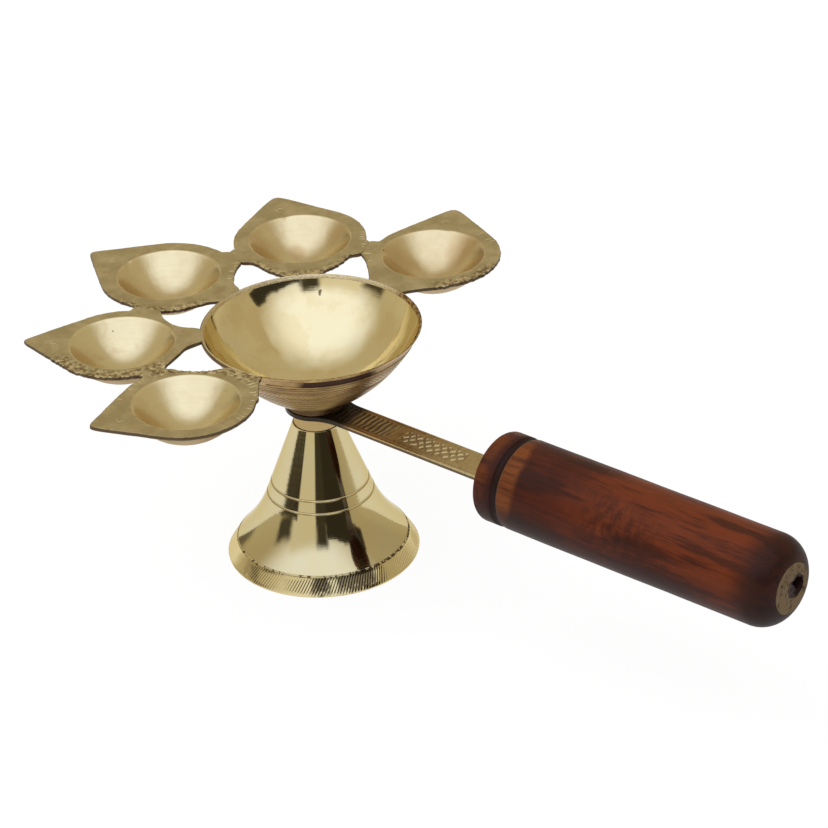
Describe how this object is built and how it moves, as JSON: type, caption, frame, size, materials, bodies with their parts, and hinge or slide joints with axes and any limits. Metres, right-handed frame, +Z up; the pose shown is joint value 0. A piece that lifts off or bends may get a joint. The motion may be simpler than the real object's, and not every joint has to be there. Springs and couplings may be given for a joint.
{
  "type": "aarti lamp",
  "caption": "Brass aarti lamp with a central bowl, a fan of leaf-shaped wick cups, a bell pedestal and a turned wooden grip on a flat arm.",
  "frame": {"origin": "centre of the foot on the floor, on the axis of bowl, stud and pedestal", "axes": "+X along the arm towards the grip, +Z up, the leaf fan opens towards -X"},
  "size_m": [0.261, 0.1656, 0.078],
  "materials": {
    "cast_brass": "satin cast brass with a polished bowl",
    "polished_brass": "mirror polished, turned",
    "engraved_brass": "satin, engraved",
    "lacquered_wood": "lacquered dark red-brown hardwood",
    "plated_steel": "zinc plated"
  },
  "bodies": {
    "stand": {"pedestal": "polished_brass"},
    "head": {"lamp_head": "cast_brass", "clamp_stud": "plated_steel"},
    "handle": {"handle_arm": "engraved_brass", "wooden_grip": "lacquered_wood"},
    "washer": {"clamp_washer": "plated_steel"},
    "nut": {"clamp_nut": "plated_steel"}
  },
  "joints": [
    {"name": "head_turn", "type": "hinge", "parent": "stand", "child": "head", "pos_m": [0, 0, 0.0518], "axis": [0, 0, 1], "continuous": true},
    {"name": "handle_swing", "type": "hinge", "parent": "stand", "child": "handle", "pos_m": [0, 0, 0.05105], "axis": [0, 0, 1], "continuous": true},
    {"name": "washer_drop", "type": "slide", "parent": "head", "child": "washer", "axis": [0, 0, -1], "range_m": [0, 0.004]},
    {"name": "nut_turn", "type": "hinge", "parent": "washer", "child": "nut", "pos_m": [0, 0, 0.0324], "axis": [0, 0, -1], "range_deg": [0, 1440]}
  ],
  "couplings": [
    {"joint": "nut_turn", "follows": "washer_drop", "rad_per_m": 6283.2}
  ]
}
